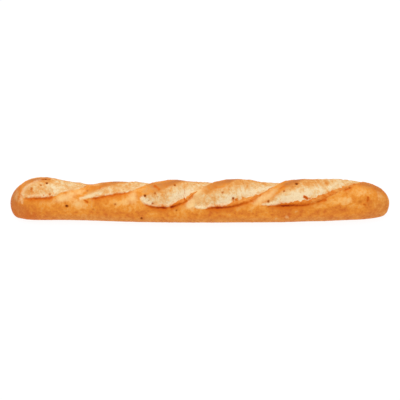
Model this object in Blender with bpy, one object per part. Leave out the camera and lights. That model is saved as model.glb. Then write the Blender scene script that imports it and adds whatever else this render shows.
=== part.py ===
"""A long slender crusty loaf: one closed solid with five opened slashes and a flat underside.

Metres, +Z up.  The loaf lies along X with its slashes on top, and rests on Z = 0.
A place on the crust is given by x, along the loaf, and by the arc a, measured over the
crust from its top line: positive down the front (-Y), negative down the back (+Y).
"""

from collections import namedtuple
from math import acos, atan2, cos, exp, log, pi, sin

import bmesh
import bpy
from mathutils import Matrix, Vector, noise

# ---------------------------------------------------------------- driving dimensions
LENGTH = 0.560
HALF_WIDTH = 0.0300
CROWN = 0.0538  # height of the top line over the underside, where the girth is 1
WAIST = 0.0166  # height at which the loaf is widest
SUNK = 0.0030  # how much of the round belly is flattened away by the oven floor
TOP_ROUND = 2.1  # exponents of the section's upper and lower halves: 2 is an ellipse
BELLY_ROUND = 2.5
ARC = 0.0345  # radius that turns an angle round the section into the arc a

# how far from each tip the loaf reaches its full width, crown and belly
LEFT_NOSE = (0.043, 0.044, 0.013)
RIGHT_NOSE = (0.051, 0.040, 0.014)

# the girth as a share of the full section, and the sideways bow of the loaf, from place to place
GIRTH = ((-0.280, 1.00), (-0.236, 1.018), (-0.160, 0.942), (0.030, 1.035), (0.125, 1.004),
         (0.190, 1.018), (0.262, 0.890), (0.280, 0.880))
BOW = ((-0.280, 0.001), (-0.238, 0.0034), (-0.080, -0.0024), (0.100, -0.0018),
       (0.228, 0.0024), (0.280, 0.0012))

# ---------------------------------------------------------------- slashes
# Each opened slash has a near edge, which runs along the front side from its blunt head and then
# climbs over the top, and a far edge, which falls from the top to run level down the back.
Slash = namedtuple("Slash", "head side droop turn rise crest fall tail depth sag lip")
# head, tail   x of its two ends
# side, droop  arc of the near edge at the head, and its slope along the side
# turn, rise   x at which the near edge starts to climb, and the slope that this adds
# crest, fall  x at which the far edge crosses the top line, and its slope down the back
# depth, sag   depth of the opened trough, and of the sagging crust outside the climbing edge
# lip          height of the torn lip along the level stretch of the near edge
SLASHES = (
    Slash(-0.260, 0.0260, 0.03, -0.207, 0.64, -0.238, 1.7, -0.126, 0.0100, 0.0050, 0.0009),
    Slash(-0.177, 0.0270, 0.17, -0.097, 0.56, -0.132, 1.2, -0.030, 0.0056, 0.0008, 0.0010),
    Slash(-0.090, 0.0350, -0.01, -0.042, 0.62, -0.036, 2.0, 0.062, 0.0076, 0.0012, 0.0014),
    Slash(-0.011, 0.0360, 0.03, 0.050, 0.60, 0.042, 1.0, 0.158, 0.0082, 0.0016, 0.0014),
    Slash(0.090, 0.0335, 0.01, 0.158, 0.55, 0.139, 1.0, 0.258, 0.0018, 0.0000, 0.0016),
)
FRONT_FALL = 0.6  # slope of the far edges on the front of the loaf
BEND = 0.006  # radius with which an edge turns from level to climbing
HEAD_WIDTH = 0.019  # width of an opening at its blunt head
BACK_SIDE = 0.033  # arc at which the far edges run level down the back
CREASE_DEPTH = 0.0022  # the sharp crease where the side crust meets an opening
CREASE_WIDTH = 0.0022
LIP_WIDTH = 0.0060
CLIMB = 0.026  # distance over which a climbing edge loses its lip and gains the full depth
LEVEL_DEPTH = 0.45  # share of the depth behind the level stretch
SAG_WIDTH = 0.022
END_FADE = 0.013  # distance over which an opening dies out at its head and tail
RIDGE = 0.0018  # swelling of the unopened crust along a far edge
RIDGE_WIDTH = 0.010

LUMPS = ((0.0007, 0.034), (0.0003, 0.013))  # height and size of the crust's unevenness
TUCK = 0.006  # height over the underside in which the unevenness dies out

# ---------------------------------------------------------------- mesh
RINGS = 420
SPOKES = 140
CLOSE_RINGS = 22  # rings that crowd towards each tip
TRIANGLES = 11400

CRUST_COLOUR = (0.66, 0.31, 0.07, 1.0)
CRUST_ROUGHNESS = 0.6


def clear_scene():
    for thing in list(bpy.data.objects):
        bpy.data.objects.remove(thing, do_unlink=True)


def crust_material():
    material = bpy.data.materials.new("crust")
    material.use_nodes = True
    shader = material.node_tree.nodes["Principled BSDF"]
    shader.inputs["Base Color"].default_value = CRUST_COLOUR
    shader.inputs["Roughness"].default_value = CRUST_ROUGHNESS
    shader.inputs["Metallic"].default_value = 0.0
    material.diffuse_color = CRUST_COLOUR
    return material


def smooth(t):
    """0 below 0, 1 above 1, with an eased climb between."""
    t = min(max(t, 0.0), 1.0)
    return t * t * (3.0 - 2.0 * t)


def eased(stations, x):
    """A value that eases from one (x, value) station to the next."""
    for (x0, v0), (x1, v1) in zip(stations, stations[1:]):
        if x <= x1:
            return v0 + (v1 - v0) * smooth((x - x0) / (x1 - x0))
    return stations[-1][1]


def ramp(t):
    """0 for t well below 0, t well above 0, bent round with the radius BEND."""
    t /= BEND
    return BEND * (t if t > 30.0 else log(1.0 + exp(max(t, -30.0))))


def bell(t, width):
    return exp(-((t / width) ** 2))


def nose(distance, reach):
    """Share of the full size at a distance from a tip: a quarter ellipse."""
    t = min(max(1.0 - distance / reach, 0.0), 1.0)
    return (1.0 - t * t) ** 0.5


# ---------------------------------------------------------------- relief
def near_edge(slash, x):
    return slash.side - slash.droop * (x - slash.head) - slash.rise * ramp(x - slash.turn)


def far_edge(slash, x):
    past = x - slash.crest
    arc = -FRONT_FALL * past - (slash.fall - FRONT_FALL) * ramp(past)
    highest = slash.side - HEAD_WIDTH
    return max(highest - ramp(highest - arc), -BACK_SIDE)


def slash_relief(slash, x, arc):
    """Height that one opened slash adds to the crust at x and arc."""
    inside_ends = smooth((x - slash.head) / END_FADE) * smooth((slash.tail - x) / END_FADE)
    if inside_ends == 0.0:
        return 0.0
    lean = 1.0 / (1.0 + slash.rise ** 2) ** 0.5
    climb = smooth((x - slash.turn) / CLIMB)
    from_near = (near_edge(slash, x) - arc) * lean
    from_far = (arc - far_edge(slash, x)) * lean
    width = from_near + from_far
    if width <= 0.0:
        return 0.0
    sag = slash.sag * climb
    height = -CREASE_DEPTH * bell(from_near, CREASE_WIDTH)
    height += RIDGE * bell(from_far + RIDGE_WIDTH, RIDGE_WIDTH)
    if from_near <= 0.0:
        height -= sag * smooth(1.0 + from_near / SAG_WIDTH)
    elif from_far > 0.0:
        across = from_near / width
        height += slash.lip * (1.0 - climb) * bell(from_near - LIP_WIDTH / 2, LIP_WIDTH / 2)
        depth = slash.depth * (LEVEL_DEPTH + (1.0 - LEVEL_DEPTH) * climb)
        trough = sag + (depth - sag) * smooth(from_near / LIP_WIDTH)
        height -= trough * smooth((1.0 - across) * 1.3)
    return height * inside_ends * smooth(width / HEAD_WIDTH * 1.5)


def relief(x, arc, height_over_base):
    """Outward height of the crust over the plain loaf."""
    lumps = sum(size * noise.noise(Vector((x, arc, height_over_base)) / pitch)
                for size, pitch in LUMPS)
    return sum(slash_relief(s, x, arc) for s in SLASHES) + lumps * smooth(height_over_base / TUCK)


# ---------------------------------------------------------------- surface
def section(x):
    """Half width, crown and belly heights from the waist, and bow, of the section at x."""
    girth = eased(GIRTH, x)
    wide, high, low = (nose(x + LENGTH / 2, left) * nose(LENGTH / 2 - x, right)
                       for left, right in zip(LEFT_NOSE, RIGHT_NOSE))
    return (HALF_WIDTH * girth * wide, (CROWN * girth - WAIST) * high,
            (WAIST + SUNK) * low, eased(BOW, x))


def crust_point(x, angle):
    """The point of the crust at x, at an angle from the top towards the front."""
    half_width, crown, belly, bow = section(x)
    up, out = cos(angle), sin(angle)
    tall, power = (crown, TOP_ROUND) if up >= 0.0 else (belly, BELLY_ROUND)
    if half_width < 1e-6 or tall < 1e-6:
        return Vector((x, bow, WAIST))
    reach = (abs(up / tall) ** power + abs(out / half_width) ** power) ** (-1.0 / power)
    height = WAIST + reach * up
    fade = min(1.0, reach / (HALF_WIDTH / 2))
    reach += relief(x, angle * ARC, max(height, 0.0)) * fade
    return Vector((x, bow - reach * out, max(WAIST + reach * up, 0.0)))


def ring_place(share):
    """x of the ring at a share, 0 to 1, of the way from tip to tip."""
    from_end = min(share, 1.0 - share) * RINGS
    pitch = LENGTH / (RINGS - CLOSE_RINGS)
    if from_end < CLOSE_RINGS:
        distance = pitch * from_end ** 2 / (2 * CLOSE_RINGS)
    else:
        distance = pitch * (from_end - CLOSE_RINGS / 2)
    return distance - LENGTH / 2 if share < 0.5 else LENGTH / 2 - distance


def loaf_mesh():
    bm = bmesh.new()
    bmesh.ops.create_uvsphere(bm, u_segments=SPOKES, v_segments=RINGS, radius=1.0,
                              matrix=Matrix.Rotation(pi / 2, 4, "Y"))
    for vert in bm.verts:
        along = acos(min(max(-vert.co.x, -1.0), 1.0)) / pi
        vert.co = crust_point(ring_place(along), atan2(-vert.co.y, vert.co.z))
    centre_on_origin(bm)
    bmesh.ops.recalc_face_normals(bm, faces=bm.faces)
    mesh = bpy.data.meshes.new("loaf")
    bm.to_mesh(mesh)
    bm.free()
    mesh.shade_smooth()
    return mesh


def centre_on_origin(bm):
    """Move the loaf so that its box is centred on X and Y."""
    for axis in (0, 1):
        lowest = min(vert.co[axis] for vert in bm.verts)
        highest = max(vert.co[axis] for vert in bm.verts)
        for vert in bm.verts:
            vert.co[axis] -= (lowest + highest) / 2


def add_loaf():
    loaf = bpy.data.objects.new("loaf", loaf_mesh())
    bpy.context.collection.objects.link(loaf)
    loaf.data.materials.append(crust_material())
    fewer = loaf.modifiers.new("fewer faces", "DECIMATE")
    fewer.ratio = TRIANGLES / (2 * SPOKES * (RINGS - 1))
    return loaf


clear_scene()
add_loaf()
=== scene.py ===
"""Looks of a long crusty loaf: its crust, its opened slashes, and the studio round it.

Metres, +Z up.  The loaf lies along X with its slashes on top.  A place on the crust is given
by x, along the loaf, and by its arc, measured over the crust from the top line: positive down
the front (-Y), negative down the back (+Y).  Such places, the relief and the distances of the
finish are in millimetres.
"""

from math import cos, pi, radians, sin

import bmesh
import bpy
import numpy as np
from bpy.props import FloatProperty, FloatVectorProperty, IntProperty, PointerProperty
from mathutils import Color, Matrix, Vector, noise


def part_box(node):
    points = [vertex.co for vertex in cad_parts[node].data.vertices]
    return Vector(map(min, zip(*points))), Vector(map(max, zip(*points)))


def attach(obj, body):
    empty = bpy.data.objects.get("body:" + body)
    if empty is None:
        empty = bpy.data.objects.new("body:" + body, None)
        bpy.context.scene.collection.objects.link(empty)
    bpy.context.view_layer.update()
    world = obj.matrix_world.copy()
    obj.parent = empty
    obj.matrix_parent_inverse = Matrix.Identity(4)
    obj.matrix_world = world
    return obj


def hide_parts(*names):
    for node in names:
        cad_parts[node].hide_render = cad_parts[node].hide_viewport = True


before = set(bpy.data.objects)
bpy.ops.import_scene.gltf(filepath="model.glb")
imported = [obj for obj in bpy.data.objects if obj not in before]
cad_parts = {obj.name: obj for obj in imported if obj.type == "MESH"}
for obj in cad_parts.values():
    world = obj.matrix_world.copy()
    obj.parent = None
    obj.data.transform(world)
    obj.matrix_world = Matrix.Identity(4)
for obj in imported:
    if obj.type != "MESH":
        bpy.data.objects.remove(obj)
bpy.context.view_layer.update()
LOAF_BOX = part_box("loaf")

bl_info = {
    "name": "Crusty Loaf",
    "version": (1, 0, 0),
    "blender": (4, 5, 0),
    "location": "View3D > Sidebar > Loaf",
    "description": "A long crusty loaf with opened slashes, on a pale studio floor",
    "category": "Add Mesh",
}

MM = 0.001

# ---- plain shape, as the solid has it
TOP_ROUND = 2.1  # exponents of the section's upper and lower halves: 2 is an ellipse
BELLY_ROUND = 2.5
# from each tip to the full width, the full crown and the full belly
LEFT_NOSE = (0.043, 0.044, 0.013)
RIGHT_NOSE = (0.051, 0.040, 0.014)
# x, and there the share of the full girth, or how far the loaf bows to the back
GIRTH = ((-0.280, 1.00), (-0.236, 1.018), (-0.160, 0.942), (0.030, 1.035), (0.125, 1.004),
         (0.190, 1.018), (0.262, 0.890), (0.280, 0.880))
BOW = ((-0.280, 0.001), (-0.238, 0.0034), (-0.080, -0.0024), (0.100, -0.0018),
       (0.228, 0.0024), (0.280, 0.0012))
# numbers kept on the mesh for the finish
KEPT = ("opened", "torn", "crease", "halo", "toast", "stretched", "dull", "rim", "tone", "pit",
        "mark", "above")
TIP_FADE = 0.5  # share of the half width below which the relief fades, towards the tips
SMALLEST = 1e-9  # widths and heights are taken to be at least this, where they divide

# ---- slashes, in millimetres
# near, far   outline of the opening on the side of the front and of the back, from its head on
#             the front to its tail on the back
# crease      x, and there the strength of the crease under the near edge: burnt, and painted shade
# torn        x, and there the width of the torn crust above the crease
# climb       x at which the near edge turns up and the opening grows deep
# depth, sag  depth of the opening, and of the crust that sags outside its climbing edge
# lip         height of the lip over the crease
# soft        width over which crust and crumb blend into each other at the climbing edge
# head_soft   the same at the head
SLASHES = (
    dict(near=((-260, 19), (-256, 23), (-248, 24.3), (-228, 24.4), (-213, 22.5), (-200, 15.5),
               (-187, 10), (-172, 3), (-164, -8), (-152, -22), (-132, -31)),
         far=((-260, 19), (-259, 13), (-254, 8), (-238, -1), (-226, -8), (-212, -24), (-190, -33),
              (-155, -35), (-132, -31)),
         crease=((-258, 0), (-254, 0.3), (-247, 0.5), (-240, 0.7), (-232, 0.7), (-216, 0.65),
                 (-209, 0)),
         torn=((-214, 0), (-206, 0)),
         climb=-207, depth=8.0, sag=4.0, lip=0.9, soft=7.0, head_soft=1.0),
    dict(near=((-175, 23.8), (-165, 23), (-152, 22), (-132, 17.4), (-118, 14.6), (-104, 12),
               (-90, 5.5), (-76, -2), (-60, -14), (-36, -30)),
         far=((-175, 23.8), (-170, 19), (-160, 13), (-148, 8), (-139, 3), (-126, -5), (-112, -20),
              (-96, -31), (-66, -34), (-36, -30)),
         crease=((-168, 0), (-160, 0.1), (-156, 0.35), (-151, 0.8), (-145, 0.5), (-132, 0.5),
                 (-116, 0.55), (-103, 0.3), (-92, 0)),
         torn=((-150, 0), (-140, 0.6), (-104, 0.6), (-96, 0)),
         climb=-97, depth=5.6, sag=0.8, lip=1.0, soft=3.5, head_soft=3.0),
    dict(near=((-88.5, 20), (-83.5, 26), (-75, 32), (-60, 34.8), (-46, 35), (-36, 32), (-27, 28.5),
               (-18, 24), (-10, 17), (3, 8.5), (17, 0), (33, -12), (58, -30)),
         far=((-88.5, 20), (-86, 18), (-78, 16), (-68, 13), (-58, 9.5), (-48, 5), (-38, 0),
              (-28, -8), (-18, -24), (-4, -33), (30, -35), (58, -30)),
         crease=((-84, 0), (-77, 0.45), (-68, 0.75), (-60, 0.95), (-52, 1.25), (-47, 0.6),
                 (-44, 0.3), (-41, 1.35), (-36, 0.9), (-30, 0.65), (-20, 0.5), (-11, 0.3), (-4, 0)),
         torn=((-44, 0), (-39, 3.8), (-30, 6.7), (-20, 6.5), (-12, 5), (-2, 0)),
         climb=-42, depth=7.6, sag=1.2, lip=1.5, soft=3.5, head_soft=3.0),
    dict(near=((-11, 29), (-9, 35.3), (2, 37.3), (20, 35.1), (38, 34.4), (54, 31.2), (68, 27.2),
               (80, 23), (91, 16), (103, 8.5), (116, -1), (132, -14), (155, -30)),
         far=((-11, 29), (-10, 20), (-4, 13), (8, 11.5), (22, 9), (36, 5), (48, -6), (64, -24),
              (80, -32), (120, -35), (155, -30)),
         crease=((5, 0), (12, 0.6), (18, 0.85), (26, 1.3), (34, 0.95), (48, 0.7), (66, 0.62),
                 (78, 0.4), (88, 0)),
         torn=((36, 0), (45, 5.5), (51, 9.6), (60, 8.4), (75, 8.8), (88, 5.4), (100, 2.4),
               (108, 0)),
         climb=50, depth=8.2, sag=1.6, lip=1.5, soft=3.0, head_soft=5.0),
    dict(near=((90, 30.5), (98, 32.6), (112, 32.2), (125, 32.2), (146, 32), (158, 31), (172, 27.4),
               (186, 22.6), (200, 16), (216, 8.4), (230, 0.6), (242, -10), (256, -24)),
         far=((90, 30.5), (97, 26.5), (104, 22), (113, 15.2), (125, 7.8), (132, 2.6), (144, -6),
              (158, -18), (172, -29), (200, -35), (236, -33), (256, -24)),
         crease=((98, 0), (101, 0.45), (106, 0.35), (112, 0.7), (119, 1.15), (127, 1.3),
                 (138, 0.82), (150, 0.72), (160, 0.55), (168, 0.3), (173, 0.6), (181, 0.5),
                 (186, 0.05), (207, 0.05), (212, 0.6), (219, 0.5), (223, 0.1), (230, 0)),
         torn=((108, 0), (118, 2.6), (128, 4.2), (137, 5.6), (150, 6.2), (160, 7.4), (167, 6.4),
               (176, 8), (186, 8.4), (200, 6.6), (216, 5), (232, 2.6), (244, 0)),
         climb=158, depth=2.2, sag=0.0, lip=1.7, soft=2.5, head_soft=3.0),
)

# burnt pits: x and arc of the middle, radius, strength
PITS = (
    (-275, 38, 3, 0.25), (-247, 56, 2.4, 0.3), (-246, 10, 2.4, 0.4), (-232, 4.5, 1.4, 0.5),
    (-230, -7.4, 2, 0.5), (-227, 20, 1.6, 0.35), (-226, -8.2, 2.2, 0.85), (-223.5, 0.6, 1.6, 1),
    (-221.5, -9, 1.9, 0.45), (-218, 18, 1.9, 0.45), (-195.5, 32.2, 1.2, 0.4),
    (-193.6, 36.4, 2.2, 1.1), (-164, 10, 2.4, 0.42), (-155, 41, 2.4, 0.35), (-123, 31, 2.4, 0.5),
    (-85, 57.3, 2, 1.1), (-79.5, 17.2, 1.8, 1.2), (-74, 24, 1.6, 0.3), (-69, 28.8, 2, 0.5),
    (-65, 14, 1.8, 0.5), (-61, 19, 1.3, 0.3), (-50, 14, 1.2, 0.3), (-36.5, 1.2, 1.7, 0.8),
    (-34, 40, 1.8, 0.7), (-4.5, 48.5, 2.2, 0.45), (33, 14, 1.7, 0.5), (48.2, 21.2, 1.7, 0.85),
    (68, 18, 1.3, 0.35), (73, 42, 1.8, 0.3), (82.5, 50, 1.6, 0.4), (93, -13, 2, 0.35),
    (99, 26.4, 1.9, 0.7), (99, 34, 1.6, 0.45), (114, -6, 1.2, 0.2), (122, 11.5, 1.5, 0.8),
    (131, 33.4, 2.2, 0.4), (141, -0.8, 2.1, 1.3), (172, 28, 1.6, 0.4), (193, 31, 1.8, 0.2),
    (213, 10.4, 1.5, 0.35), (218, 7.6, 1.8, 0.55), (233, 29.5, 3.4, 0.35), (240, 34, 1.8, 0.45),
    (244, 25, 1.8, 0.45), (250, 51, 2.4, 0.25),
)
# more of them on the back: how many, and the spans of x, arc, radius and strength they come from
HIDDEN_PITS = 16
HIDDEN_SPANS = ((-250, 250), (-60, -22), (1.1, 1.9), (0.2, 0.8))
SEED = 7

# short dark cracks and flakes: places along them, half width, strength, height
CRACKS = (
    (((-246, 9), (-244, 13)), 2.2, 0.35, 0),
    (((-236, -3.6), (-227, -7), (-218, -10)), 1.4, 0.3, -1.2),
    (((-217.5, 8), (-214, 13), (-211, 18)), 0.8, 0.22, -0.5),
    (((-167, 26), (-163, 29)), 1.8, 0.6, 0.2),
    (((-153, 22), (-146, 23)), 1.6, 0.6, 0.2),
    (((-65.5, 3), (-62.5, 5.5), (-59.5, 8)), 2.2, 0.55, 0.3),
    (((-22.5, 6), (-22.2, 18)), 0.8, 0.24, -0.4),
    (((-22.2, 19), (-21.8, 23)), 1.1, 0.7, -0.6),
    (((41.6, 1), (43.4, 10)), 1, 0.2, 0),
    (((48.4, 21), (48.6, 28)), 0.9, 0.4, -0.5),
    (((78, 21.5), (84, 19.5), (90, 16.5)), 1.8, 0.26, 0),
    (((116, 9.5), (119, 6.5), (124, 4)), 1.6, 0.3, 0.2),
    (((151, 20.6), (155.5, 23.2)), 2.4, 0.72, 0.7),
    (((156, 23.5), (160, 23)), 1.4, 0.35, 0),
    (((170, 28.4), (174, 27.8)), 1.2, 0.55, 0),
    (((180, 27.2), (183, 26.6)), 1.1, 0.5, 0),
    (((238.5, 33), (241.5, 35.5)), 2.1, 0.55, 0.2),
    (((244.5, 22), (243.5, 28)), 2, 0.6, 0.2),
)

# pale rims where the crust has torn thin, partly a painted highlight: the same
RIMS_AND_HIGHLIGHTS = (
    (((-259, 30), (-260, 24), (-260, 18), (-258, 12), (-252, 6.5)), 3.8, 0.4, 0.4),
    (((-252, 6.5), (-243, 1.5), (-234, -4)), 2.8, 0.45, 0.4),
    (((-250, 20.5), (-232, 20.5), (-222, 19.5)), 1.8, 0.4, 0.3),
    (((-173, 23.2), (-166, 21.6), (-158, 17.5), (-150, 14.5)), 2.2, 0.65, 0.4),
    (((-86, 21.5), (-81, 27.5), (-74, 31.5), (-64, 33)), 2, 0.55, 0.4),
    (((-6, 34.7), (3, 35.8), (12, 34.6)), 2, 0.65, 0.4),
    (((91, 30.5), (98, 31.5), (110, 30)), 1.8, 0.75, 0.4),
)

# soft patches: x and arc of the middle, half length along x, half width along the arc, strength,
# and where it has one the slope of the long axis
TOASTED = (  # browner places, mostly inside the openings
    (-272, 8, 8, 14, 0.5), (-268, 14, 5, 12, 0.3), (-246, 14, 9, 7, 0.4), (-229, -3, 9, 4, 0.2),
    (-225, 10, 12, 7, 0.25), (-196, 8, 14, 5, 0.2, -0.6), (-152, 10, 7, 2.5, 0.28, -0.3),
    (-136, 12, 12, 4, 0.2, -0.25), (-135, 3, 8, 4, 0.3, -0.3), (-120, 4, 12, 5, 0.2, -0.3),
    (-117, 5, 8, 4, 0.2), (-96, -2, 10, 4, 0.15, -0.3), (-84, 12, 6, 4, 0.2),
    (-71, 5, 14, 5, 0.35, -0.2), (-70, -2, 14, 4, 0.35), (-56, 12, 14, 5, 0.4, -0.1),
    (-54, 25, 12, 5, 0.22), (-50, 3, 12, 4, 0.2, -0.5), (-40, 3, 6, 3, 0.3), (-29, 3, 9, 3, 0.25),
    (-2, 24, 9, 8, 0.3), (8, 14, 7, 4, 0.2), (12, 8, 13, 5, 0.3), (13, 14, 8, 4, 0.2),
    (20, 4, 10, 6, 0.25, -0.3), (28, -2, 8, 3, 0.3), (30, 15, 13, 5, 0.15), (42.5, 6, 2.5, 6, 0.3),
    (45, 5, 5, 2.5, 0.2), (63, -8, 8, 4, 0.25), (70, -5, 12, 6, 0.15, -0.3),
    (108, 22, 8, 4, 0.2, -0.8), (126, 2, 7, 4, 0.3), (138, 2, 10, 5, 0.5, -0.7),
    (160, 0, 12, 5, 0.12), (184.5, -3, 3.2, 9, 0.6), (187, 2, 13, 6, 0.12), (243, -2, 14, 7, 0.6),
    (262, 0, 8, 8, 0.4),
)
PALEST = (  # palest places inside the openings
    (-236, -11, 10, 3, 0.35), (-230, 19, 14, 3, 0.25), (-208, -8, 12, 5, 0.3),
    (-207, 12, 10, 6, 0.3, -0.2), (-181, -6, 12, 5, 0.15), (-180, -1, 8, 5, 0.2),
    (-146, 14, 7, 3, 0.35), (-132, -6, 8, 4, 0.35), (-82, 21, 5, 6, 0.5, 0.8), (-74, 26, 7, 5, 0.3),
    (-29, 10, 9, 3, 0.2), (-28, 16, 12, 6, 0.4, -0.4), (-12, 10, 10, 5, 0.25, -0.5),
    (4, 34, 9, 2.6, 0.45), (10, 9, 9, 4, 0.4, -0.3), (40, 25, 9, 7, 0.4), (43, 17, 9, 4, 0.35),
    (44, 3, 12, 4, 0.15), (53, -5, 6, 4, 0.25), (76, 8, 16, 5, 0.35, -0.3),
    (92, 2, 14, 5, 0.3, -0.6), (118, 26, 16, 4, 0.45, -0.2), (133, 22, 14, 5, 0.75),
    (150, 16, 18, 7, 0.35), (190, 4, 14, 6, 0.15, -0.5), (218, -5, 10, 4, 0.2, -0.5),
)
STRETCHED = (  # pale stretched crust beside the openings
    (-267, 13, 4.5, 10, 0.4), (-234, -12, 20, 4, 0.5), (-204, 26, 12, 5, 0.45, -0.4),
    (-190, 20, 14, 7, 0.65, -0.5), (-178, 30, 10, 7, 0.5), (-170, 11, 9, 4, 0.3, -0.3),
    (-170, 37, 5, 8, 0.2), (-153, -2, 9, 5, 0.5), (-104, 26, 12, 7, 0.4), (-96, 18, 7, 9, 0.6),
    (-72, 9, 9, 5, 0.25), (-15, 31, 8, 6, 0.65), (-14, 27, 6, 9, 0.9), (-10, 12, 6, 6, 0.4),
    (-2, 11, 8, 6, 0.8, -0.4), (-2, 24, 8, 9, 0.6), (80, 27, 13, 8, 0.45), (90, 21, 8, 8, 0.5),
    (103, 16, 9, 6, 0.6, -0.4), (127, 54, 3.5, 4, 0.6), (213, 28, 13, 7, 0.38, -0.1),
    (237, 15, 9, 6, 0.25), (261, 16, 3.5, 8, 0.4),
)
DULL = (  # duller crust, mostly round the two ends
    (-271, 33, 6, 12, 0.2), (-264, 44, 14, 12, 0.35), (178, 60, 26, 10, 0.2), (248, 58, 10, 8, 0.3),
    (264, 42, 12, 12, 0.4), (273, 28, 6, 14, 0.2),
)
LIGHTER = (  # lighter stretches of the crust
    (-222, 30, 14, 4, 0.3), (-176, 38, 12, 10, 0.35), (-118, 27, 20, 7, 0.6, -0.2),
    (-97, 39, 12, 7, 0.5), (-76, 7, 18, 7, 0.8), (-68, 46, 9, 5, 0.35), (-68, 46, 14, 5, 0.2),
    (-52, 44, 10, 5, 0.3), (-34, 43, 12, 5, 0.6), (-30, 38, 8, 4, 0.2), (-9, 42, 11, 6, 0.5),
    (-6, 60, 14, 5, 0.3), (58, 27, 7, 4, 0.5), (68, 21, 16, 6, 0.7, -0.4),
    (70, 34, 16, 6, 0.55, -0.2), (126, 14, 12, 8, 0.4, -0.8), (180, 34, 18, 5, 0.45, -0.2),
    (196, 29, 10, 5, 0.25), (199, 11, 8, 4, 0.4, -0.5), (208, 25, 18, 8, 0.45, -0.3),
    (225, 34, 10, 4, 0.2), (236, 16, 16, 6, 0.15), (265, 41, 9, 9, 0.35),
)
DEEPER = (  # deeper stretches of the crust
    (-272, 32, 9, 30, 1.05), (-258, 66, 14, 12, 0.5), (-257, 52, 20, 16, 0.72),
    (-247, 57, 5, 4, 0.3), (-232, 46, 10, 6, 0.2), (-226, 62, 26, 8, 0.6), (-150, 47, 14, 8, 0.4),
    (-130, 46, 9, 6, 0.4), (-104, 47, 22, 7, 0.35), (-60, 41, 18, 3, 0.4), (-31, 25, 6, 4, 0.3),
    (-28, 47, 16, 5, 0.15), (10, 52, 20, 8, 0.2), (24, 41, 22, 6, 0.5), (60, 47, 18, 6, 0.3),
    (122, 38, 16, 5, 0.55), (140, 48, 26, 8, 0.4), (150, 29, 8, 3, 0.4), (200, 60, 24, 6, 0.3),
    (212, 42, 22, 5, 0.3), (240, -2, 14, 5, 0.35), (243, 28, 14, 5, 0.4), (243, 60, 16, 8, 0.5),
    (246, 29, 12, 4, 0.3), (256, 54, 14, 10, 0.3), (261, 2, 9, 8, 0.5), (276, 34, 5, 20, 0.2),
)
SWELLINGS = (  # gentle rises and dips: their strength is a height
    (-276, 64, 7, 24, 2.2), (-240, -16, 16, 13, -0.8), (-200, -18, 12, 13, -0.9),
    (-177, -24, 5, 8, 1.8), (-165, -22, 4, 10, -1.4), (-134, -16, 14, 13, -1.7),
    (-92, -16, 9, 13, 1.3), (-48, -14, 9, 13, 1.1), (-18, -16, 11, 12, -1.3), (12, -18, 8, 12, 1.5),
    (27, -16, 10, 12, -1.5), (74, -16, 16, 13, 1.8), (98, -18, 6, 12, 0.7), (178, -14, 7, 12, 0.8),
    (203, -14, 8, 12, 1), (228, -14, 14, 12, 1.4), (277, 66, 6, 24, 3.2),
)
# the number of the finish that each table adds to, and how much of it
SPOTS = (("toast", 1, TOASTED), ("toast", -1, PALEST), ("stretched", 1, STRETCHED),
         ("dull", 1, DULL), ("tone", 1, LIGHTER), ("tone", -1, DEEPER))


def number(name, description, default, **kind):
    """A property that holds a number."""
    return FloatProperty(name=name, description=description, default=default, **kind)


def metres(name, description, default):
    """A property that holds a length."""
    return number(name, description, default, unit="LENGTH")


def shade(name, description, *display):
    """A colour property whose default is given in display values, 0 to 255."""
    colour = Color([value / 255.0 for value in display]).from_srgb_to_scene_linear()
    return FloatVectorProperty(name=name, description=description, default=list(colour),
                               subtype="COLOR", size=3, min=0.0, max=1.0)


class LoafShape(bpy.types.PropertyGroup):
    """Sizes of the loaf before its relief."""

    length: metres("Length", "From tip to tip", LOAF_BOX[1].x - LOAF_BOX[0].x)
    half_width: metres("Half width", "Half of the widest section", 0.0300)
    crown: metres("Crown", "Height of the top line", 0.0538)
    waist: metres("Waist", "Height at which the loaf is widest", 0.0166)
    sunk: metres("Sunk", "How far the oven floor flattens the belly", 0.0030)
    arc: metres("Arc radius", "Turns an angle into an arc on the crust", 0.0345)
    rings: IntProperty(name="Rings", description="Rings from tip to tip", default=640)
    spokes: IntProperty(name="Spokes", description="Points round each ring", default=152)
    close_rings: IntProperty(name="Close rings", description="Rings that crowd at each tip",
                             default=34)
    top_heavy: number("Top share", "How far the points crowd on the top", 0.34)


class LoafRelief(bpy.types.PropertyGroup):
    """Heights and widths of what stands on the crust or is cut into it."""

    wander: metres("Wander", "How far the slashes' edges wander", 0.48 * MM)
    crease_depth: metres("Crease depth", "Depth of the creases", 2.0 * MM)
    crease_width: metres("Crease width", "Half width of the creases", 1.7 * MM)
    # the creases' dark colour is burnt crust with painted shade of the crevice under each lip
    crease_spread: metres("Crease colour", "Half width of the creases' dark colour", 2.5 * MM)
    overhang: metres("Overhang", "How far a lip hangs over its crease", 0.6 * MM)
    lip_width: metres("Lip width", "Width of the lips", 6.0 * MM)
    torn_height: metres("Torn height", "Thickness of the torn crust", 0.9 * MM)
    stretch: metres("Stretch marks", "Height of the crumb's marks", 0.45 * MM)
    pit_depth: metres("Pit depth", "Depth of the deepest pits", 1.8 * MM)
    ridge: metres("Ridge", "Swelling of the crust along a far edge", 1.8 * MM)
    lumps: metres("Lumps", "Height of the crust's broad lumps", 0.6 * MM)
    blister: metres("Blisters", "Height of the crust's small blisters", 0.22 * MM)


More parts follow.
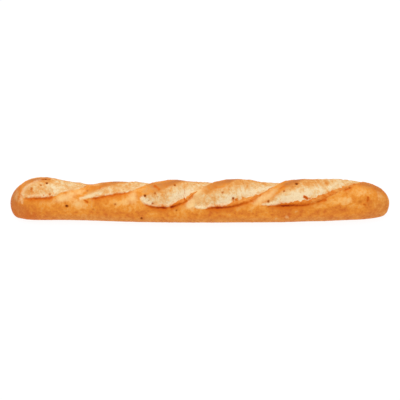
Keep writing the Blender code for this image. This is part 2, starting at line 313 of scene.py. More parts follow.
class LoafColours(bpy.types.PropertyGroup):
    """Colours of the loaf's finish."""

    crust: shade("Crust", "Baked crust of the sides", 236, 146, 49)
    crust_light: shade("Lighter crust", "Lighter mottling of the crust", 254, 188, 102)
    crust_deep: shade("Deeper crust", "Darker mottling of the crust", 210, 108, 35)
    low: shade("Low crust", "Duller crust next to the oven floor", 212, 134, 65)
    low_light: shade("Low crust, lighter", "Lighter mottling of the low crust", 232, 160, 88)
    low_deep: shade("Low crust, deeper", "Darker mottling of the low crust", 194, 112, 44)
    ridge: shade("Ridge", "Well baked ridges over the slashes", 199, 120, 57)
    crumb_pale: shade("Palest crumb", "Palest opened crumb", 248, 222, 178)
    crumb: shade("Crumb", "Opened crumb", 242, 198, 138)
    crumb_toasted: shade("Toasted crumb", "Opened crumb that has browned", 236, 163, 85)
    crumb_browned: shade("Browned crumb", "Opened crumb at its brownest", 222, 138, 60)
    torn: shade("Torn crust", "Ragged crust along an opening", 242, 165, 79)
    torn_deep: shade("Torn crust, deep", "Darker parts of the torn crust", 220, 109, 16)
    # dark creases: burnt crust edges, with painted shade of the crevice under each lip
    crease: shade("Crease", "Dark creases under the lips", 168, 49, 0)
    # pale rims: thin torn crust, with a painted highlight on the edge that faces the light
    rim: shade("Rim", "Palest thin rims of the openings", 250, 223, 175)
    stretched: shade("Stretched crust", "Pale thin crust by the openings", 252, 208, 142)
    pit: shade("Pit", "Burnt pits", 108, 42, 0)
    pit_edge: shade("Pit edge", "Browned edges of the pits", 200, 104, 18)
    pore: shade("Pores", "Small pores of the crumb", 220, 160, 92)


class StageLook(bpy.types.PropertyGroup):
    """Floor, lights and camera."""

    floor: shade("Floor", "Colour of the floor", 84, 88, 94)
    floor_glow: number("Floor glow", "Light that the floor itself gives", 0.92)
    floor_size: metres("Floor size", "Side of the floor", 24.0)
    world: number("Surroundings", "Strength of the even light", 0.69)
    key: number("Key light", "Power of the light over the loaf, in watts", 10.2)
    fill: number("Fill light", "Power of the light in front, in watts", 3.8)
    lens: number("Lens", "Focal length in millimetres", 100.0)
    distance: metres("Camera distance", "From camera to loaf", 1.6398)
    elevation: number("Camera elevation", "Angle above the floor", radians(38.0), subtype="ANGLE")
    aim_x: metres("Aim along", "Where the camera aims, along the loaf", 0.00013)
    aim_height: metres("Aim height", "Height at which the camera aims", 0.0232)


# ---- numbers over the crust
NOISE_GAIN = 1.6  # brings the noise to about -1 to 1
DRAW_WAY = (1.0, 1.7, 2.3)  # way in which another draw lies in the noise
LUMPS = ((34.0, 0.0, 0.7), (13.0, 0.0, 0.3))  # unevenness: pitch, draw and share of each noise
BLISTERS = ((4.2, 41.0, 1.0), (2.0, 43.0, 0.6))
WANDER_ALONG = ((6.0, 3.0, 1.0), (3.0, 5.0, 0.5))
WANDER_DOWN = ((6.0, 9.0, 1.0), (3.0, 11.0, 0.5))
JAGS = ((6.0, 21.0, 1.0), (3.2, 23.0, 0.6))
PIT_ROUGHNESS = ((1.9, 31.0, 0.4),)
MARKS = ((1.0, 0.0, 1.0),)  # over places that are already counted in pitches


def smooth(t):
    """0 below 0, 1 above 1, with an eased climb between."""
    t = np.clip(t, 0.0, 1.0)
    return t * t * (3.0 - 2.0 * t)


def bell(t, width):
    return np.exp(-((t / width) ** 2))


def straight(stations, x):
    """A value that runs straight from one (x, value) station to the next."""
    return np.interp(x, *np.array(stations, float).T)


def eased(stations, x):
    """A value that eases from one (x, value) station to the next."""
    places, values = np.array(stations, float).T
    i = np.clip(np.searchsorted(places, x) - 1, 0, len(places) - 2)
    share = smooth((x - places[i]) / (places[i + 1] - places[i]))
    return values[i] + (values[i + 1] - values[i]) * share


def uneven(places, noises):
    """Sum of noises from about -1 to 1 at each place, each with bumps about its pitch across."""
    total = np.zeros(len(places))
    for pitch, draw, share in noises:
        shift = Vector([draw * way for way in DRAW_WAY])
        bumps = [noise.noise(Vector(place) / pitch + shift) for place in places]
        total += share * (np.array(bumps) * NOISE_GAIN)
    return total


def nose(distance, reach):
    """Share of the full size at a distance from a tip: a quarter ellipse."""
    return np.sqrt(1.0 - np.clip(1.0 - distance / reach, 0.0, 1.0) ** 2)


class Curve:
    """A smooth curve over the crust through a few (x, arc) stations, in millimetres."""

    STEP = 1.0  # length of its short straight steps

    def __init__(self, stations):
        stations = np.array(stations, float)
        gaps = np.linalg.norm(np.diff(stations, axis=0), axis=1)
        run = np.concatenate(([0.0], np.cumsum(gaps)))
        slopes = np.gradient(stations, run, axis=0)
        fine = np.linspace(0.0, run[-1], int(run[-1] / self.STEP) + 2)
        i = np.clip(np.searchsorted(run, fine, side="right") - 1, 0, len(gaps) - 1)
        gap = gaps[i][:, None]
        t = (fine - run[i])[:, None] / gap
        share = smooth(t)
        self.points = ((1 - share) * stations[i] + share * stations[i + 1]
                       + gap * (t * (1 - t) ** 2 * slopes[i] - t * t * (1 - t) * slopes[i + 1]))
        steps = np.diff(self.points, axis=0)
        self.lengths = np.linalg.norm(steps, axis=1)
        self.ways = steps / self.lengths[:, None]
        self.run = np.concatenate(([0.0], np.cumsum(self.lengths)))

    def nearest(self, places):
        """For each place its distance from the curve, how far along that is, and the way there."""
        best = np.full(len(places), np.inf)
        along = np.zeros(len(places))
        way = np.zeros((len(places), 2))
        for start, length, step, before in zip(self.points, self.lengths, self.ways, self.run):
            offset = places - start
            forward = np.clip(offset @ step, 0.0, length)
            gap = np.linalg.norm(offset - forward[:, None] * step, axis=1)
            closer = gap < best
            best[closer] = gap[closer]
            along[closer] = before + forward[closer]
            way[closer] = step
        return best, along, way


def enclosed(outline, places):
    """Which places lie inside a closed outline."""
    inside = np.zeros(len(places), bool)
    x, y = places.T
    for (x0, y0), (x1, y1) in zip(outline, np.roll(outline, -1, axis=0)):
        if y0 == y1:
            continue
        crosses = (y0 > y) != (y1 > y)
        inside ^= crosses & (x < (x1 - x0) * (y - y0) / (y1 - y0) + x0)
    return inside


def spots(table, places, narrow=1.0):
    """Sum of the soft elongated spots of a table at each place.

    narrow is the loaf's width there as a share of its full width, which keeps a spot round
    where the loaf tapers to a tip.
    """
    total = np.zeros(len(places))
    for x, arc, half_length, half_width, strength, *slope in table:
        across = places[:, 0] - x
        down = (places[:, 1] - arc) * narrow - sum(slope) * across
        total += strength * np.exp(-(across / half_length) ** 2 - (down / half_width) ** 2)
    return total


# ---- relief, in millimetres
REACH = 30.0  # how far outside an opening its relief is worked out
HEAD_LENGTH = 16.0  # of an opening, along x
CLIMB = 26.0  # length over which a climbing edge loses its lip and gains the full depth
LEVEL_DEPTH = 0.45  # share of the depth behind the level stretch
FULL_WIDTH = 13.0  # width of an opening from which its relief is whole
FAR_RISE = 1.3  # how soon an opening's floor rises to its far edge
FAR_SOFT = 3.4  # as the slashes' soft, at their far edges
SAG_WIDTH = 22.0
RIDGE_WIDTH = 10.0  # half width of the ridge beyond a far edge
LIP_CREST = 0.4  # place and half width of a lip's crest, as a share of the lip's width
OVERHANG_PLACE = 1.9  # distance inside the near edge at which the lip leans out most
OVERHANG_WIDTH = 1.4
TORN_RISE = 0.8  # distance over which the torn crust rises from the crease
TORN_STEP = 1.6  # width of the step at its ragged edge
TORN_JAG = 0.2  # raggedness of that edge, as a share of the torn crust's width
TORN_JAG_LEAST = 0.4  # on top of that
FLOOR_FREE = 6.0  # height over the floor from which the crust is lumpy in full

# ---- numbers for the finish
FAR_OFF = 8.0  # distances kept for the finish are held within this
TORN_LEAD = 0.5  # how far outside the crease the torn crust starts
# darkness of the creases: burnt crust with painted shade under the lips
CREASE_STRENGTH = 0.93
CREASE_PLACE = 0.8  # how far outside the near edge the crease is darkest, burnt and with painted shade
HALO_PLACE = 1.6  # the same for its brown halo, burnt crust with painted shade under the lip
HALO_SPREAD = 2.2  # half width of the halo, in half widths of the crease
CRUMB_TOAST = 0.55  # browning of the crumb at its far edge
CRUMB_TOAST_START = 0.35  # share of the width at which it begins
RIDGE_TOAST = 0.75  # browning of the crust beyond a far edge
RIDGE_TOAST_PLACE = 4.0  # how far beyond the edge it is strongest
RIDGE_TOAST_WIDTH = 6.0
BACK_TOP = 14.0  # arc over which the crust browns, from the front over the top
FRONT_TOAST = 0.3  # share of the browning that is left on the front
BACK_TOAST = 0.4  # the same down the back
TOP_TOAST = 0.12  # browning of all the crust behind the top line
MARK_PITCH = 2.6  # of the crumb's stretch marks, along the opening
MARK_LENGTH = 15.0
MARK_DRAW = 4.0  # where in the noise they lie
MARK_START = 3.0  # distance from the edges over which the marks begin
SIDE_START = 30.0  # arc from which the crust gets deeper down the sides
SIDE_REACH = 16.0  # arc over which it does
SIDE_DEEPER = 0.35
PIT_HOLLOW = 0.9  # radius of a pit's hollow, as a share of its dark colour's


class Opening:
    """One opened slash, measured at places on the crust."""

    def __init__(self, slash, places, jag):
        self.slash = slash
        near, far = Curve(slash["near"]), Curve(slash["far"])
        self.near, self.along, way = near.nearest(places)
        self.far = far.nearest(places)[0]
        self.inward = np.stack((way[:, 1], -way[:, 0]), axis=1)
        outline = np.concatenate((near.points, far.points[::-1]))
        self.inside = enclosed(outline, places)
        before = ~self.inside & (self.near < self.far)
        beyond = ~self.inside & ~before
        self.near[before] *= -1.0
        self.far[beyond] *= -1.0
        self.width = np.maximum(self.near + self.far, 0.0)
        self.whole = smooth(self.width / FULL_WIDTH)
        x = places[:, 0]
        self.climb = smooth((x - slash["climb"]) / CLIMB)
        self.head = smooth(1.0 - (x - slash["near"][0][0]) / HEAD_LENGTH)
        self.crease = straight(slash["crease"], x)
        torn = straight(slash["torn"], x)
        ragged = torn * (1.0 + TORN_JAG * jag) + TORN_JAG_LEAST * jag
        self.torn = np.where(torn > 0.0, ragged, -FAR_OFF)

    def height(self, relief):
        """Height that the opening adds to the crust, in millimetres."""
        slash, near, far = self.slash, self.near, self.far
        crease = relief.crease_depth / MM * np.minimum(self.crease, 1.0)
        height = -crease * bell(near, relief.crease_width / MM)
        height += relief.ridge / MM * bell(far + RIDGE_WIDTH, RIDGE_WIDTH) * self.whole
        sag = slash["sag"] * self.climb
        height -= np.where(near <= 0.0, sag * smooth(1.0 + near / SAG_WIDTH), 0.0) * self.whole
        lip = relief.lip_width / MM
        crest = lip * LIP_CREST
        rim = slash["lip"] * (1.0 - self.climb) * bell(near - crest, crest)
        depth = slash["depth"] * (LEVEL_DEPTH + (1.0 - LEVEL_DEPTH) * self.climb)
        trough = sag + (depth - sag) * smooth(near / lip)
        trough = trough * smooth(far / np.maximum(self.width, SMALLEST) * FAR_RISE)
        tear = relief.torn_height / MM * smooth((self.torn - near) / TORN_STEP + 0.5)
        within = rim + tear * smooth(near / TORN_RISE) - trough
        return height + np.where(self.inside, within, 0.0) * self.whole

    def pull(self, relief):
        """How far each place leans outward, so that a lip hangs over its crease."""
        lean = relief.overhang / MM * np.minimum(self.crease, 1.0)
        lean = lean * bell(self.near - OVERHANG_PLACE, OVERHANG_WIDTH)
        return -lean[:, None] * self.inward

    def opened(self):
        """Distance inside the opening, eased where crust and crumb blend softly."""
        head_soft = 1.0 + (self.slash["head_soft"] - 1.0) * self.head
        softness = head_soft + (self.slash["soft"] - 1.0) * self.climb
        return np.clip(np.minimum(self.near / softness, self.far / FAR_SOFT), -FAR_OFF, FAR_OFF)

    def torn_inside(self):
        """Distance inside the torn crust."""
        start = (self.near + TORN_LEAD) / TORN_LEAD
        torn = np.where(self.near > -TORN_LEAD, np.minimum(self.torn - self.near, start), -FAR_OFF)
        return np.clip(np.where(self.torn > 0.0, torn, -FAR_OFF), -FAR_OFF, FAR_OFF)

    def toast(self):
        """Browning of the crumb towards the far edge, and of the crust beyond it."""
        across = 1.0 - self.far / np.maximum(self.width, SMALLEST)
        crumb = smooth((across - CRUMB_TOAST_START) / (1.0 - CRUMB_TOAST_START))
        ridge = bell(self.far + RIDGE_TOAST_PLACE, RIDGE_TOAST_WIDTH)
        return (CRUMB_TOAST * crumb * self.inside
                + RIDGE_TOAST * ridge * ~self.inside * self.whole)

    def marks(self):
        """Stretch marks that run across the crumb, from about -1 to 1."""
        strands = np.stack((self.along / MARK_PITCH, self.near / MARK_LENGTH,
                            np.full(len(self.near), MARK_DRAW)), axis=1)
        return uneven(strands, MARKS) * smooth(self.opened() / MARK_START)


def draw_lines(table, fields, name, places):
    """Sink or raise the short lines of a table, and note them for the finish."""
    for stations, half_width, strength, height in table:
        fade = bell(Curve(stations).nearest(places)[0], half_width)
        fields["height"] += height * fade
        fields[name] = np.maximum(fields[name], strength * fade)


def crust_fields(relief, places, around, narrow):
    """Height, sideways pull and finish numbers at each place on the crust.

    places are (x, arc) and around are points of the plain loaf, both in millimetres, and narrow
    is its width there as a share of its full width.
    """
    count = len(places)
    wander = np.stack((uneven(around, WANDER_ALONG), uneven(around, WANDER_DOWN)), axis=1)
    jag = uneven(around, JAGS)
    places = places + relief.wander / MM * wander
    fields = {name: np.zeros(count) for name in ("height", *KEPT)}
    fields["opened"] -= FAR_OFF
    fields["torn"] -= FAR_OFF
    pull = np.zeros((count, 2))

    def keep_most(name, chosen, values):
        fields[name][chosen] = np.maximum(fields[name][chosen], values)

    spread = relief.crease_spread / MM
    for slash in SLASHES:
        outline = np.array(slash["near"] + slash["far"], float)
        low, high = outline.min(0) - REACH, outline.max(0) + REACH
        chosen = np.flatnonzero(((places > low) & (places < high)).all(1))
        opening = Opening(slash, places[chosen], jag[chosen])
        fields["height"][chosen] += opening.height(relief)
        fields["mark"][chosen] += opening.marks()
        pull[chosen] += opening.pull(relief)
        keep_most("opened", chosen, opening.opened())
        keep_most("torn", chosen, opening.torn_inside())
        keep_most("toast", chosen, opening.toast())
        # dark crease and its brown halo: burnt crust, with painted shade cast by the lip over the
        # crease
        dark = bell(opening.near + CREASE_PLACE, spread)
        keep_most("crease", chosen, CREASE_STRENGTH * opening.crease * dark)
        halo = bell(opening.near + HALO_PLACE, HALO_SPREAD * spread)
        keep_most("halo", chosen, opening.crease * halo)
    fields["height"] += relief.stretch / MM * fields["mark"] + spots(SWELLINGS, places)
    over_top = smooth((BACK_TOP / 2 - places[:, 1]) / BACK_TOP)
    down_back = smooth((-places[:, 1] - BACK_TOP) / BACK_TOP)
    fields["toast"] *= FRONT_TOAST + (1.0 - FRONT_TOAST) * over_top
    fields["toast"] *= 1.0 - (1.0 - BACK_TOAST) * down_back
    fields["toast"] += TOP_TOAST * over_top * narrow
    down_side = smooth((np.abs(places[:, 1]) - SIDE_START) / SIDE_REACH)
    fields["tone"] -= SIDE_DEEPER * (0.5 + (down_side - 0.5) * narrow)
    for name, share, table in SPOTS:
        fields[name] += share * spots(table, places, narrow)
    draw_lines(CRACKS, fields, "crease", places)
    draw_lines(RIMS_AND_HIGHLIGHTS, fields, "rim", places)
    return fields, pull


def add_pits(relief, fields, places, around):
    """Sink the pits into the crust and note them for the finish."""
    rough = uneven(around, PIT_ROUGHNESS)
    draw = np.random.default_rng(SEED)
    hidden = tuple(tuple(draw.uniform(*span) for span in HIDDEN_SPANS) for _ in range(HIDDEN_PITS))
    for x, arc, radius, strength in PITS + hidden:
        gap = np.hypot(places[:, 0] - x, places[:, 1] - arc) + rough
        hollow = bell(gap, radius * PIT_HOLLOW)
        fields["height"] -= relief.pit_depth / MM * strength * hollow
        fields["pit"] = np.maximum(fields["pit"], strength * bell(gap, radius))


# ---- the loaf
def section(shape, x):
    """Half width, crown and belly heights from the waist, and bow, of the section at x."""
    girth = eased(GIRTH, x)
    half_length = shape.length / 2
    wide, high, low = (nose(x + half_length, left) * nose(half_length - x, right)
                       for left, right in zip(LEFT_NOSE, RIGHT_NOSE))
    return (shape.half_width * girth * wide, (shape.crown * girth - shape.waist) * high,
            (shape.waist + shape.sunk) * low, eased(BOW, x))


def crust_points(shape, x, angle, relief):
    """Points of the crust at x, at an angle from the top towards the front, with a relief."""
    half_width, crown, belly, bow = section(shape, x)
    up, out = np.cos(angle), np.sin(angle)
    tall = np.maximum(np.where(up >= 0.0, crown, belly), SMALLEST)
    wide = np.maximum(half_width, SMALLEST)
    power = np.where(up >= 0.0, TOP_ROUND, BELLY_ROUND)
    reach = (np.abs(up / tall) ** power + np.abs(out / wide) ** power) ** (-1.0 / power)
    reach += relief * np.minimum(1.0, reach / (shape.half_width * TIP_FADE))
    height = np.maximum(shape.waist + reach * up, 0.0)
    return np.stack((x, bow - reach * out, height), axis=1)


def ring_places(shape, share):
    """x of the rings at shares, 0 to 1, of the way from tip to tip."""
    from_end = np.minimum(share, 1.0 - share) * shape.rings
    pitch = shape.length / (shape.rings - shape.close_rings)
    distance = np.where(from_end < shape.close_rings,
                        pitch * from_end ** 2 / (2 * shape.close_rings),
                        pitch * (from_end - shape.close_rings / 2))
    return np.where(share < 0.5, distance - shape.length / 2, shape.length / 2 - distance)


def fitted(points, box):
    """The points, stretched a little on each axis to fill a box."""
    lowest, highest = np.array(box)
    low, high = points.min(0), points.max(0)
    return lowest + (points - low) / (high - low) * (highest - lowest)


def unit_ball(shape):
    """A ball's mesh with its poles on X, and its points."""
    bm = bmesh.new()
    bmesh.ops.create_uvsphere(bm, u_segments=shape.spokes, v_segments=shape.rings, radius=1.0,
                              matrix=Matrix.Rotation(pi / 2, 4, "Y"))
    bmesh.ops.recalc_face_normals(bm, faces=bm.faces)
    mesh = bpy.data.meshes.new("loaf_crust")
    bm.to_mesh(mesh)
    bm.free()
    points = np.empty(3 * len(mesh.vertices), np.float32)
    mesh.vertices.foreach_get("co", points)
    return mesh, points.reshape(-1, 3).astype(float)


def loaf_mesh(shape, relief):
    """The loaf's surface, with the numbers that its finish needs kept as attributes."""
    mesh, ball = unit_ball(shape)
    x = ring_places(shape, np.arccos(np.clip(-ball[:, 0], -1.0, 1.0)) / pi)
    angle = np.arctan2(-ball[:, 1], ball[:, 2])
    angle -= shape.top_heavy * np.sin(angle)

    around = crust_points(shape, x, angle, 0.0) / MM
    places = np.stack((x, angle * shape.arc), axis=1) / MM
    narrow = section(shape, x)[0] / shape.half_width
    fields, pull = crust_fields(relief, places, around, narrow)
    add_pits(relief, fields, places, around)
    fields["above"] = around[:, 2]
    lumpy = (relief.lumps / MM * uneven(around, LUMPS)
             + relief.blister / MM * uneven(around, BLISTERS))
    fields["height"] += lumpy * smooth(fields["above"] / FLOOR_FREE)
    points = crust_points(shape, x + pull[:, 0] * MM, angle + pull[:, 1] * MM / shape.arc,
                          fields["height"] * MM)

    mesh.vertices.foreach_set("co", fitted(points, LOAF_BOX).ravel())
    mesh.update()
    mesh.shade_smooth()
    for name in KEPT:
        layer = mesh.attributes.new(name, "FLOAT", "POINT")
        layer.data.foreach_set("value", fields[name].astype(np.float32))
    return mesh


# ---- finish
# pitch in metres and detail of the noises
NOISES = {"broad": (0.034, 2.0), "blotch": (0.010, 3.0), "speck": (0.0040, 3.0),
          "grain": (0.0014, 2.0), "pores": (0.0027, 2.0)}
LOW_TOP = 20.2  # height over the floor up to which the crust is duller
LOW_WHOLE = 9.9  # height below which it is so in full
PORE_STRENGTH = 0.45
STRETCHED_CRUMB = 0.7  # share of the stretched crust's pallor that the crumb takes
BUMP_DISTANCE = 0.0007
BUMP_STRENGTH = 0.6
GLOSS = 0.08  # specular level of the bread
FLOOR_ROUGHNESS = 0.9
WHITE = (1.0, 1.0, 1.0)
EASED = "SMOOTHSTEP"


class Field:
    """A number that varies over a surface; an expression on it adds its Math nodes."""

    def __init__(self, finish, socket):
        self.finish, self.socket = finish, socket

    def math(self, operation, *others):
        node = self.finish.add("ShaderNodeMath", {"operation": operation}, (self, *others))
        return Field(self.finish, node.outputs[0])

    def __add__(self, other):
        return self.math("ADD", other)

    __radd__ = __add__

    def __mul__(self, other):
        return self.math("MULTIPLY", other)

    __rmul__ = __mul__

    def __sub__(self, other):
        return self.math("SUBTRACT", other)

    def __rsub__(self, other):
        return self * -1.0 + other

    def between(self, start, whole, easing="LINEAR"):
        """0 at start, 1 at whole, straight or eased between."""
        node = self.finish.add("ShaderNodeMapRange", {"interpolation_type": easing},
                               {"Value": self, "From Min": start, "From Max": whole})
        return Field(self.finish, node.outputs["Result"])


class Finish:
    """A material and the nodes that make its finish."""

    def __init__(self, name):
        self.material = bpy.data.materials.new(name)
        self.material.use_nodes = True
        self.tree = self.material.node_tree
        self.shader = self.tree.nodes["Principled BSDF"]
        self.numbers = {}

    def add(self, kind, settings=None, inputs=()):
        """A node of a kind: its settings are set first, then its sockets' values or links."""
        node = self.tree.nodes.new(kind)
        for name, value in (settings or {}).items():
            if name == "stops":
                self.set_stops(node.color_ramp, value)
            else:
                setattr(node, name, value)
        self.fill(node, inputs)
        return node

    def fill(self, node, inputs):
        """Values or links for a node's sockets, by name or in their order."""
        sockets = [socket for socket in node.inputs if socket.enabled]
        if isinstance(inputs, dict):
            named = {socket.name: socket for socket in sockets}
            sockets = [named[name] for name in inputs]
            inputs = inputs.values()
        for socket, value in zip(sockets, inputs):
            self.feed(socket, value)

    def set_stops(self, ramp, stops):
        while len(ramp.elements) < len(stops):
            ramp.elements.new(1.0)
        for element, (position, colour) in zip(ramp.elements, stops):
            element.position = position
            element.color = opaque(colour)

    def feed(self, socket, value):
        value = getattr(value, "socket", value)
        if isinstance(value, bpy.types.NodeSocket):
            self.tree.links.new(value, socket)
        else:
            socket.default_value = value

    def keep_numbers(self, kept, noises):
        """Have the numbers kept on the mesh and the noises at hand by name."""
        for name in kept:
            node = self.add("ShaderNodeAttribute", {"attribute_name": name})
            self.numbers[name] = Field(self, node.outputs["Fac"])
        place = self.add("ShaderNodeTexCoord").outputs["Object"]
        for name, (pitch, detail) in noises.items():
            self.numbers[name] = self.noise(place, pitch, detail)

    def noise(self, place, pitch, detail):
        """Noise from roughly -1 to 1, with bumps about a pitch across."""
        node = self.add("ShaderNodeTexNoise", None,
                        {"Vector": place, "Scale": 1.0 / pitch, "Detail": detail})
        return (Field(self, node.outputs["Fac"]) - 0.5) * 2.0

    def mottle(self, middle=0.0, **shares):
        """The named numbers, each by its share, around a middle."""
        terms = [self.numbers[name] * share for name, share in shares.items()]
        return sum(terms[1:], terms[0]) + middle

    def mask(self, name, start, whole, easing="LINEAR", **shares):
        """0 to 1 as a named number goes from start to whole, made ragged by shares of others."""
        number = self.numbers[name]
        for other, share in shares.items():
            number = number + self.numbers[other] * share
        return number.between(start, whole, easing)

    def blend(self, share, first, second):
        """A colour that goes from the first to the second as the share goes from 0 to 1."""
        node = self.add("ShaderNodeMix", {"data_type": "RGBA"},
                        {"Factor": share, "A": opaque(first), "B": opaque(second)})
        return next(s for s in node.outputs if s.enabled)

    def ramp(self, share, *stops):
        """A colour that runs through (position, colour) stops."""
        return self.add("ShaderNodeValToRGB", {"stops": stops}, {"Fac": share}).outputs["Color"]


def opaque(colour):
    """A property's colour with its alpha, or a socket as it is."""
    return colour if isinstance(colour, bpy.types.NodeSocket) else (*colour, 1.0)


def crust_colour(finish, colours, stretched):
    """Baked crust: mottled, duller near the floor, browned on its ridges, pale where stretched."""
    crust = finish.ramp(
        finish.mottle(tone=0.45, broad=0.25, blotch=0.6, speck=0.5, grain=0.2, middle=0.52),
        (0.0, colours.crust_deep), (0.5, colours.crust), (1.0, colours.crust_light))
    low_crust = finish.ramp(
        finish.mottle(blotch=0.5, speck=0.6, grain=0.3, middle=0.5),
        (0.0, colours.low_deep), (0.5, colours.low), (1.0, colours.low_light))
    low = finish.mask("above", LOW_TOP, LOW_WHOLE, EASED, broad=-5.2, speck=-1.7)
    low = low * finish.mottle(tone=0.5, middle=0.85) + finish.numbers["dull"]
    crust = finish.blend(low, crust, low_crust)
    browned = finish.mask("toast", start=0.1, whole=0.85, blotch=0.5, speck=0.35)
    crust = finish.blend(browned, crust, colours.ridge)
    return finish.blend(stretched, crust, colours.stretched)


def crumb_colour(finish, colours, stretched):
    """Opened crumb, from its palest to its brownest, with its pores."""
    crumb = finish.ramp(
        finish.mottle(toast=0.8, blotch=0.6, speck=0.45, grain=0.25, mark=0.14, middle=0.26),
        (0.0, colours.crumb_pale), (0.3, colours.crumb), (0.65, colours.crumb_toasted),
        (1.0, colours.crumb_browned))
    pores = finish.mask("pores", start=0.12, whole=0.5)
    crumb = finish.blend(pores * PORE_STRENGTH, crumb, colours.pore)
    return finish.blend(stretched * STRETCHED_CRUMB, crumb, colours.stretched)


def loaf_finish(colours):
    """Baked crust, opened crumb, torn crust, dark creases partly painted shade, pale rims partly
    painted highlight, and pits.
    """
    finish = Finish("crusty loaf")
    finish.keep_numbers(KEPT, NOISES)
    stretched = finish.mask("stretched", start=0.15, whole=0.95, blotch=0.3, speck=0.2)
    opened = finish.mask("opened", start=-0.4, whole=1.0, easing=EASED, speck=0.8)
    torn_share = finish.mottle(blotch=1.0, speck=0.8, tone=-0.6, middle=0.5).between(0.0, 1.0)
    torn_crust = finish.blend(torn_share, colours.torn, colours.torn_deep)
    surface = finish.blend(opened, crust_colour(finish, colours, stretched),
                           crumb_colour(finish, colours, stretched))
    layers = (
        # pale rims: thin crust with a painted highlight
        (finish.mask("rim", start=0.12, whole=0.92, blotch=0.2, speck=0.3), colours.rim),
        (finish.mask("torn", start=-0.3, whole=0.6, easing=EASED, speck=1.2), torn_crust),
        # halo and creases: burnt crust with painted shade under the lips, and the dark cracks
        (finish.mask("halo", start=0.05, whole=1.05, speck=0.3), colours.torn_deep),
        (finish.mask("crease", start=0.12, whole=0.45, speck=0.35), colours.torn_deep),
        (finish.mask("crease", start=0.4, whole=1.0, speck=0.35), colours.crease),
        (finish.mask("pit", start=0.08, whole=0.5, speck=0.2), colours.pit_edge),
        (finish.mask("pit", start=0.4, whole=0.9, speck=0.2), colours.pit),
    )
    for share, colour in layers:
        surface = finish.blend(share, surface, colour)

    crumbly = finish.mask("opened", start=-0.3, whole=0.9, speck=1.0)
    finish.numbers["crumbly"] = crumbly
    height = finish.mottle(speck=0.5, grain=0.5) + crumbly * finish.numbers["grain"]
    bumpy = finish.add("ShaderNodeBump", None, {"Height": height, "Distance": BUMP_DISTANCE,
                                                "Strength": BUMP_STRENGTH})
    finish.fill(finish.shader, {
        "Base Color": surface, "Normal": bumpy.outputs["Normal"], "Specular IOR Level": GLOSS,
        "Roughness": finish.mottle(crumbly=0.22, blotch=0.08, middle=0.58)})
    return finish.material


def floor_finish(look):
    """Pale floor that gives a little light of its own."""
    finish = Finish("pale floor")
    finish.fill(finish.shader, {
        "Base Color": opaque(look.floor), "Roughness": FLOOR_ROUGHNESS,
        "Emission Color": opaque(WHITE), "Emission Strength": look.floor_glow})
    return finish.material


# ---- operators
LIGHTS = (  # name, where it hangs, its width and height, the setting that holds its power
    ("key light", (-0.25, 0.25, 1.5), (1.6, 1.0), "key"),
    ("fill light", (0.4, -1.6, 0.9), (1.4, 1.0), "fill"),
)
LIGHT_AIM = (0.0, 0.0, 0.03)
FLOOR_DROP = 0.0002  # how far the floor lies below the loaf


class LOAF_OT_loaf(bpy.types.Operator):
    """Make the loaf: crust, opened slashes, torn lips and pits in one skin"""

    bl_idname = "loaf.loaf"
    bl_label = "Loaf"

    def execute(self, context):
        scene = context.scene
        loaf = bpy.data.objects.new("loaf_crust", loaf_mesh(scene.loaf_shape, scene.loaf_relief))
        context.collection.objects.link(loaf)
        loaf.data.materials.append(loaf_finish(scene.loaf_colours))
        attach(loaf, "root")
        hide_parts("loaf")
        return {"FINISHED"}


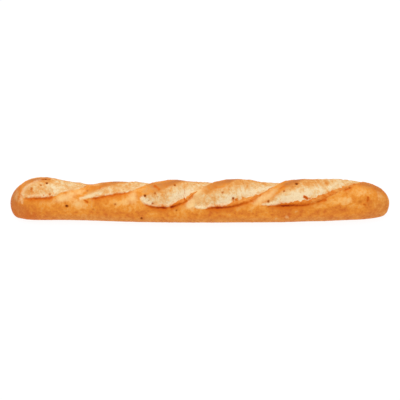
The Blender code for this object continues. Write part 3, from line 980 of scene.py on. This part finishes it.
class LOAF_OT_stage(bpy.types.Operator):
    """Lay the floor, hang the lights and set the camera"""

    bl_idname = "loaf.stage"
    bl_label = "Stage"

    def execute(self, context):
        look = context.scene.loaf_stage
        self.lay_floor(context, look)
        self.set_surroundings(context, look)
        for name, place, size, setting in LIGHTS:
            self.hang_light(context, name, Vector(place), size, getattr(look, setting))
        self.set_camera(context, look)
        return {"FINISHED"}

    def lay_floor(self, context, look):
        bm = bmesh.new()
        bmesh.ops.create_grid(bm, x_segments=1, y_segments=1, size=look.floor_size / 2,
                              matrix=Matrix.Translation((0.0, 0.0, -FLOOR_DROP)))
        mesh = bpy.data.meshes.new("floor")
        bm.to_mesh(mesh)
        bm.free()
        floor = bpy.data.objects.new("floor", mesh)
        floor.data.materials.append(floor_finish(look))
        context.collection.objects.link(floor)

    def set_surroundings(self, context, look):
        world = bpy.data.worlds.new("studio")
        world.use_nodes = True
        surroundings = world.node_tree.nodes["Background"]
        surroundings.inputs["Color"].default_value = opaque(WHITE)
        surroundings.inputs["Strength"].default_value = look.world
        context.scene.world = world
        context.scene.view_settings.view_transform = "Standard"

    def hang_light(self, context, name, place, size, power):
        light = bpy.data.lights.new(name, "AREA")
        light.shape = "RECTANGLE"
        light.size, light.size_y = size
        light.energy = power
        lamp = bpy.data.objects.new(name, light)
        context.collection.objects.link(lamp)
        lamp.location = place
        lamp.rotation_euler = (Vector(LIGHT_AIM) - place).to_track_quat("-Z", "Y").to_euler()

    def set_camera(self, context, look):
        data = bpy.data.cameras.new("camera")
        data.lens = look.lens
        camera = bpy.data.objects.new("camera", data)
        context.collection.objects.link(camera)
        aim = Vector((look.aim_x, 0.0, look.aim_height))
        away = Vector((0.0, -cos(look.elevation), sin(look.elevation)))
        camera.location = aim + away * look.distance
        camera.rotation_euler = (-away).to_track_quat("-Z", "Y").to_euler()
        context.scene.camera = camera


class LOAF_PT_panel(bpy.types.Panel):
    """Sizes, colours and the buttons that make each piece"""

    bl_idname = "LOAF_PT_panel"
    bl_label = "Crusty loaf"
    bl_space_type = "VIEW_3D"
    bl_region_type = "UI"
    bl_category = "Loaf"

    def draw(self, context):
        for group in GROUPS:
            settings = getattr(context.scene, group)
            box = self.layout.box()
            for name in settings.__annotations__:
                box.prop(settings, name)
        for operator in (LOAF_OT_loaf, LOAF_OT_stage):
            self.layout.operator(operator.bl_idname)


GROUPS = {"loaf_shape": LoafShape, "loaf_relief": LoafRelief, "loaf_colours": LoafColours,
          "loaf_stage": StageLook}
CLASSES = (*GROUPS.values(), LOAF_OT_loaf, LOAF_OT_stage, LOAF_PT_panel)


def register():
    for cls in CLASSES:
        bpy.utils.register_class(cls)
    for name, group in GROUPS.items():
        setattr(bpy.types.Scene, name, PointerProperty(type=group))


def unregister():
    for name in GROUPS:
        delattr(bpy.types.Scene, name)
    for cls in reversed(CLASSES):
        bpy.utils.unregister_class(cls)


def main():
    register()
    bpy.ops.loaf.stage()
    bpy.ops.loaf.loaf()


if __name__ == "__main__":
    main()
